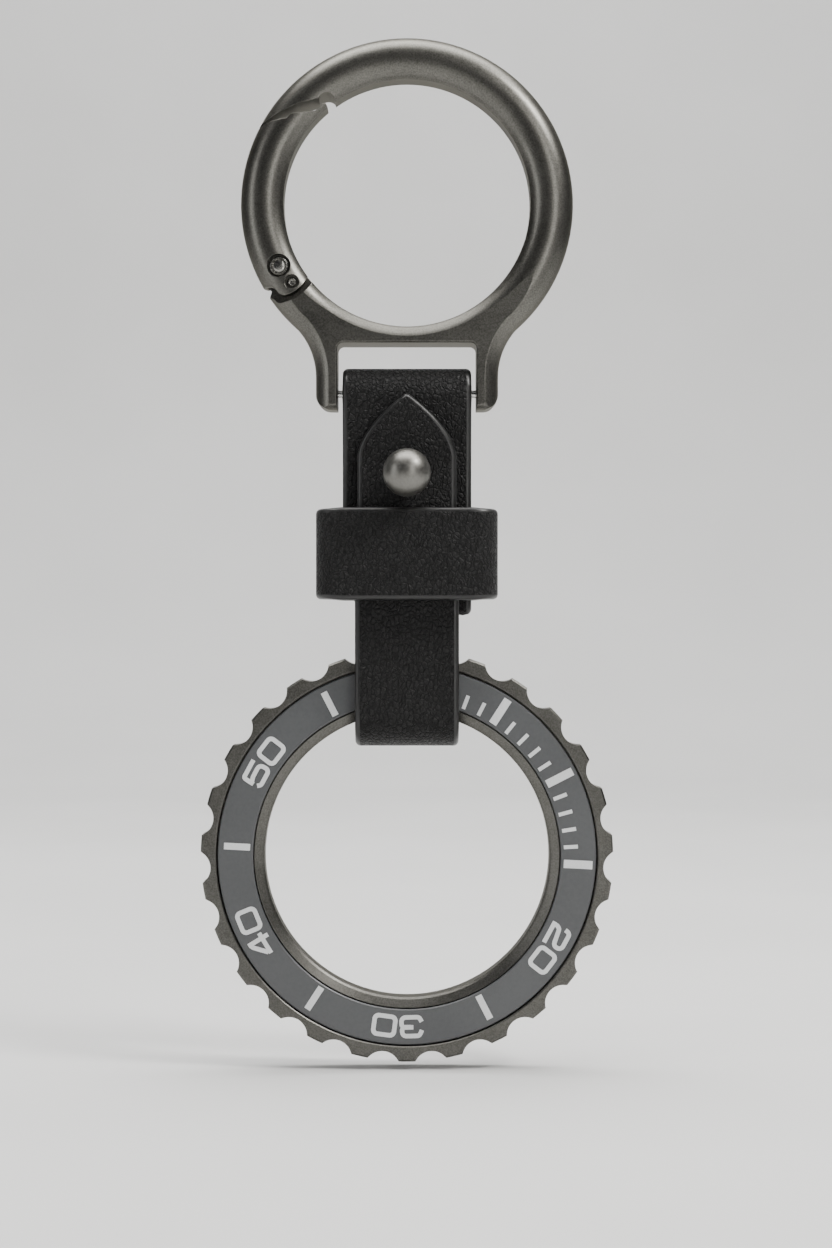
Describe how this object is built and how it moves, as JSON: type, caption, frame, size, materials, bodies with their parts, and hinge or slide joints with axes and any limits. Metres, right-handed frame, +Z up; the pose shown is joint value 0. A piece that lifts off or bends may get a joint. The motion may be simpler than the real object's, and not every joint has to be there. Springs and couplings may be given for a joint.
{
  "type": "key organiser",
  "caption": "Spring-gate clip ring with a folded leather strap, a button stud, a keeper loop and a toothed dial ring.",
  "frame": {"origin": "centre of the clip ring's hole", "axes": "+Z up, away from the dial ring; the front, with the stud and the dial's markings, faces -Y; +X is to the right seen from the front"},
  "size_m": [0.041, 0.0117, 0.102],
  "materials": {
    "gunmetal": "fine bead-blasted, dark",
    "pin_steel": "satin",
    "spring_steel": "drawn wire",
    "bar_steel": "satin",
    "leather": "fine pebble grain",
    "stud_steel": "satin, dark",
    "thread": "waxed thread",
    "dial_steel": "satin, dark",
    "insert_ceramic": "matt ceramic",
    "adhesive": "double-sided tape",
    "marking": "matt enamel"
  },
  "bodies": {
    "clip": {"clip_frame": "gunmetal", "gate_pivot_pin": "pin_steel", "gate_spring": "spring_steel"},
    "gate": {"gate": "gunmetal", "gate_stop_pin": "pin_steel"},
    "spring_bar": {"spring_bar_tube": "bar_steel", "spring_bar_coil": "spring_steel"},
    "bar_tip_left": {"spring_bar_tip_left": "bar_steel"},
    "bar_tip_right": {"spring_bar_tip_right": "bar_steel"},
    "strap": {"strap": "leather", "stud_head": "stud_steel", "stud_screw": "stud_steel"},
    "keeper": {"keeper": "leather", "keeper_stitches": "thread"},
    "dial": {"dial_ring": "dial_steel", "dial_insert": "insert_ceramic", "insert_adhesive": "adhesive", "five_minute_bars": "marking", "minute_ticks": "marking", "numerals": "marking", "zero_marker": "marking"}
  },
  "joints": [
    {"name": "gate_hinge", "type": "hinge", "parent": "clip", "child": "gate", "pos_m": [-0.0127, 0, -0.0064], "axis": [0, 1, 0], "range_deg": [0, 25], "stiffness_Nm_per_rad": 0.02, "springref_deg": -28.65, "deforming": ["gate_spring"]},
    {"name": "spring_bar_spin", "type": "hinge", "parent": "clip", "child": "spring_bar", "pos_m": [0, 0, -0.01895], "axis": [1, 0, 0], "continuous": true},
    {"name": "bar_tip_left_press", "type": "slide", "parent": "spring_bar", "child": "bar_tip_left", "axis": [1, 0, 0], "range_m": [0, 0.0011], "stiffness_N_per_m": 800, "springref_m": -0.001, "deforming": ["spring_bar_coil"]},
    {"name": "bar_tip_right_press", "type": "slide", "parent": "spring_bar", "child": "bar_tip_right", "axis": [-1, 0, 0], "range_m": [0, 0.0011], "stiffness_N_per_m": 800, "springref_m": -0.001, "deforming": ["spring_bar_coil"]},
    {"name": "strap_swing", "type": "hinge", "parent": "clip", "child": "strap", "pos_m": [0, 0, -0.01895], "axis": [1, 0, 0], "range_deg": [-100, 125]},
    {"name": "keeper_slide", "type": "slide", "parent": "strap", "child": "keeper", "axis": [0, 0, 1], "range_m": [-0.002, 0.0008]},
    {"name": "dial_turn", "type": "hinge", "parent": "strap", "child": "dial", "pos_m": [0, 0, -0.0649], "axis": [0, 1, 0], "continuous": true}
  ]
}
